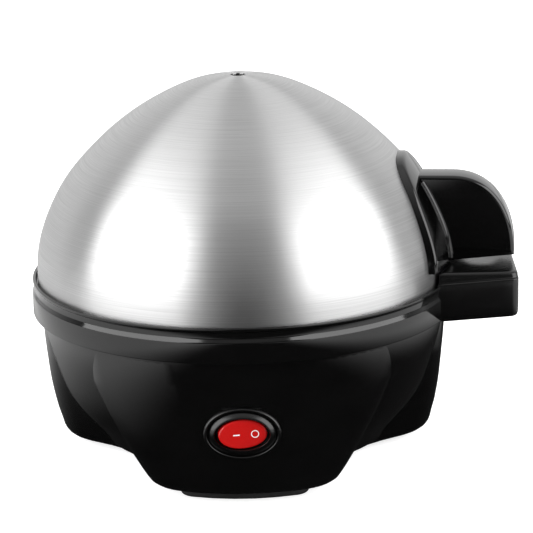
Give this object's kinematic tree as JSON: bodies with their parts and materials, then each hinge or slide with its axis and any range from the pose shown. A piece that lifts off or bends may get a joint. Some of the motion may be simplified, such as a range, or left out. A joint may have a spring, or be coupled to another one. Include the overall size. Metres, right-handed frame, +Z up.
{
  "type": "egg boiler",
  "caption": "Round table-top egg boiler: steel dome lid with a grip, black collar with a side handle, footed base and a rocker switch.",
  "frame": {"origin": "middle of the outline seen from above, on the surface the boiler stands on; the dome's axis is 11.9 mm towards -X", "axes": "+Z up, the switch looks along -Y, the side handle points along +X"},
  "size_m": [0.1964, 0.172, 0.1564],
  "materials": {
    "dome_steel": "fine brushing round the axis, bright",
    "black_plastic": "high gloss moulding",
    "foot_rubber": "matt",
    "rocker_red": "glossy, slightly translucent",
    "dish_steel": "satin",
    "zinc_steel": "zinc plated",
    "spreader_aluminium": "cast, plain",
    "element_sheath": "dark, heat tinted",
    "brass": "plain",
    "ceramic_white": "unglazed",
    "silicone_seal": "matt",
    "glass_fibre": "braided sleeve",
    "rack_plastic": "fine matt",
    "nylon_natural": "natural nylon",
    "thermostat_black": "moulded resin",
    "wire_brown": "insulated wire",
    "wire_blue": "insulated wire",
    "wire_green": "insulated wire",
    "wire_red": "insulated wire",
    "lamp_glass": "clear"
  },
  "bodies": {
    "base": {"bottom_cover": "rack_plastic", "bracket_screws": "zinc_steel", "centre_stud": "zinc_steel", "clamp_nut": "zinc_steel", "collar_ring": "black_plastic", "collar_screws": "zinc_steel", "cord_gland": "rack_plastic", "cover_screws": "zinc_steel", "earth_receptacle": "nylon_natural", "earth_screw": "zinc_steel", "earth_tab": "brass", "element_clamp": "zinc_steel", "element_insulators": "ceramic_white", "element_pins": "zinc_steel", "foot_pad_front": "foot_rubber", "foot_pad_left": "foot_rubber", "foot_pad_right": "foot_rubber", "fuse_clip": "zinc_steel", "fuse_crimps": "brass", "fuse_sleeve": "glass_fibre", "heat_shield": "zinc_steel", "heat_spreader": "spreader_aluminium", "heating_element": "element_sheath", "heating_plate": "dish_steel", "housing": "black_plastic", "pin_receptacles": "nylon_natural", "plate_gasket": "silicone_seal", "shield_nuts": "zinc_steel", "switch_bezel": "black_plastic", "switch_contacts": "brass", "switch_housing": "black_plastic", "switch_lamp": "lamp_glass", "switch_receptacles": "nylon_natural", "terminal_block": "nylon_natural", "terminal_inserts": "brass", "terminal_screws": "zinc_steel", "thermal_fuse": "zinc_steel", "thermostat": "thermostat_black", "thermostat_bracket": "zinc_steel", "thermostat_receptacles": "nylon_natural", "wire_earth": "wire_green", "wire_element": "wire_red", "wire_fuse": "wire_red", "wire_live": "wire_brown", "wire_neutral": "wire_blue", "wire_switched": "wire_brown"},
    "lid": {"lid_dome": "dome_steel", "lid_handle": "black_plastic", "lid_backing_plate": "dish_steel", "lid_handle_screws": "zinc_steel"},
    "rack": {"egg_rack": "rack_plastic", "rack_knob": "rack_plastic"},
    "rocker": {"switch_rocker": "rocker_red"}
  },
  "joints": [
    {"name": "lid_lift", "type": "slide", "parent": "base", "child": "lid", "axis": [0, 0, 1], "range_m": [0, 0.16]},
    {"name": "rack_lift", "type": "slide", "parent": "base", "child": "rack", "axis": [0, 0, 1], "range_m": [0, 0.075]},
    {"name": "rocker_tilt", "type": "hinge", "parent": "base", "child": "rocker", "pos_m": [-0.0119, -0.0747, 0.031], "axis": [0, 0, -1], "range_deg": [0, 18]}
  ],
  "couplings": [
    {"joint": "rack_lift", "follows": "lid_lift", "ratio": 0.45}
  ]
}
